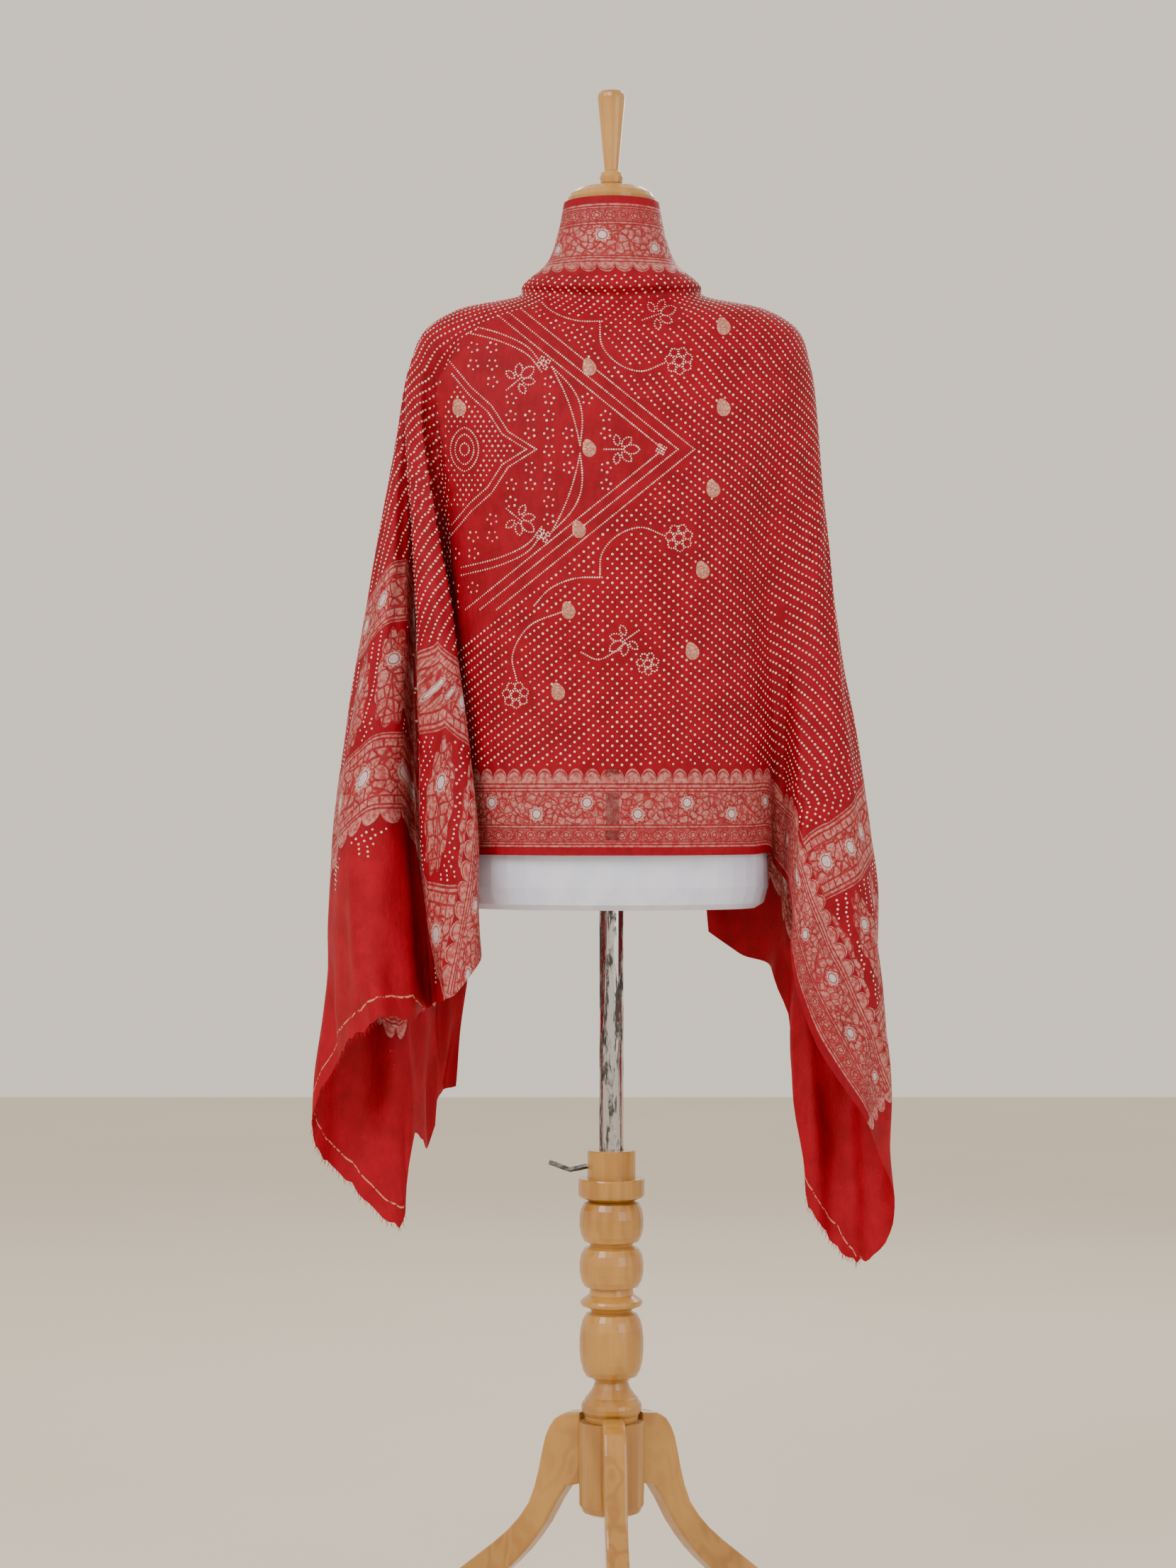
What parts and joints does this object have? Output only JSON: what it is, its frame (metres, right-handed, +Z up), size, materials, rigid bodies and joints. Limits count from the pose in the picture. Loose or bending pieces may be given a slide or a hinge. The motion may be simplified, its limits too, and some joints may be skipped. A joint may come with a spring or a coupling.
{
  "type": "bandhani cloth on dress form",
  "caption": "Tie-dyed red cloth with woven metallic-thread borders, draped like a cape over a body form on a turned wooden tripod stand.",
  "frame": {"origin": "middle of the bounding box, on the floor", "axes": "+Z up, the cloth's front faces -Y, +X is the viewer's right from the front"},
  "size_m": [0.5828, 0.4508, 1.5813],
  "materials": {
    "dyed_silk": "soft crinkled crepe silk, tie-dyed with small pale dots, with woven silver-pink borders",
    "form_shell": "smooth pale lavender-white shell",
    "beech": "honey-coloured clear varnish",
    "chrome": "plated tube, worn and streaked",
    "dark_steel": "dark bent rod"
  },
  "bodies": {
    "root": {"bandhani_cloth": "dyed_silk", "body_form": "form_shell", "neck_cap": "beech", "neck_handle": "beech", "chrome_pole": "chrome", "turned_post": "beech", "stand_hub": "beech", "leg_front": "beech", "leg_left": "beech", "leg_right": "beech", "clamp_lever": "dark_steel"}
  },
  "joints": []
}
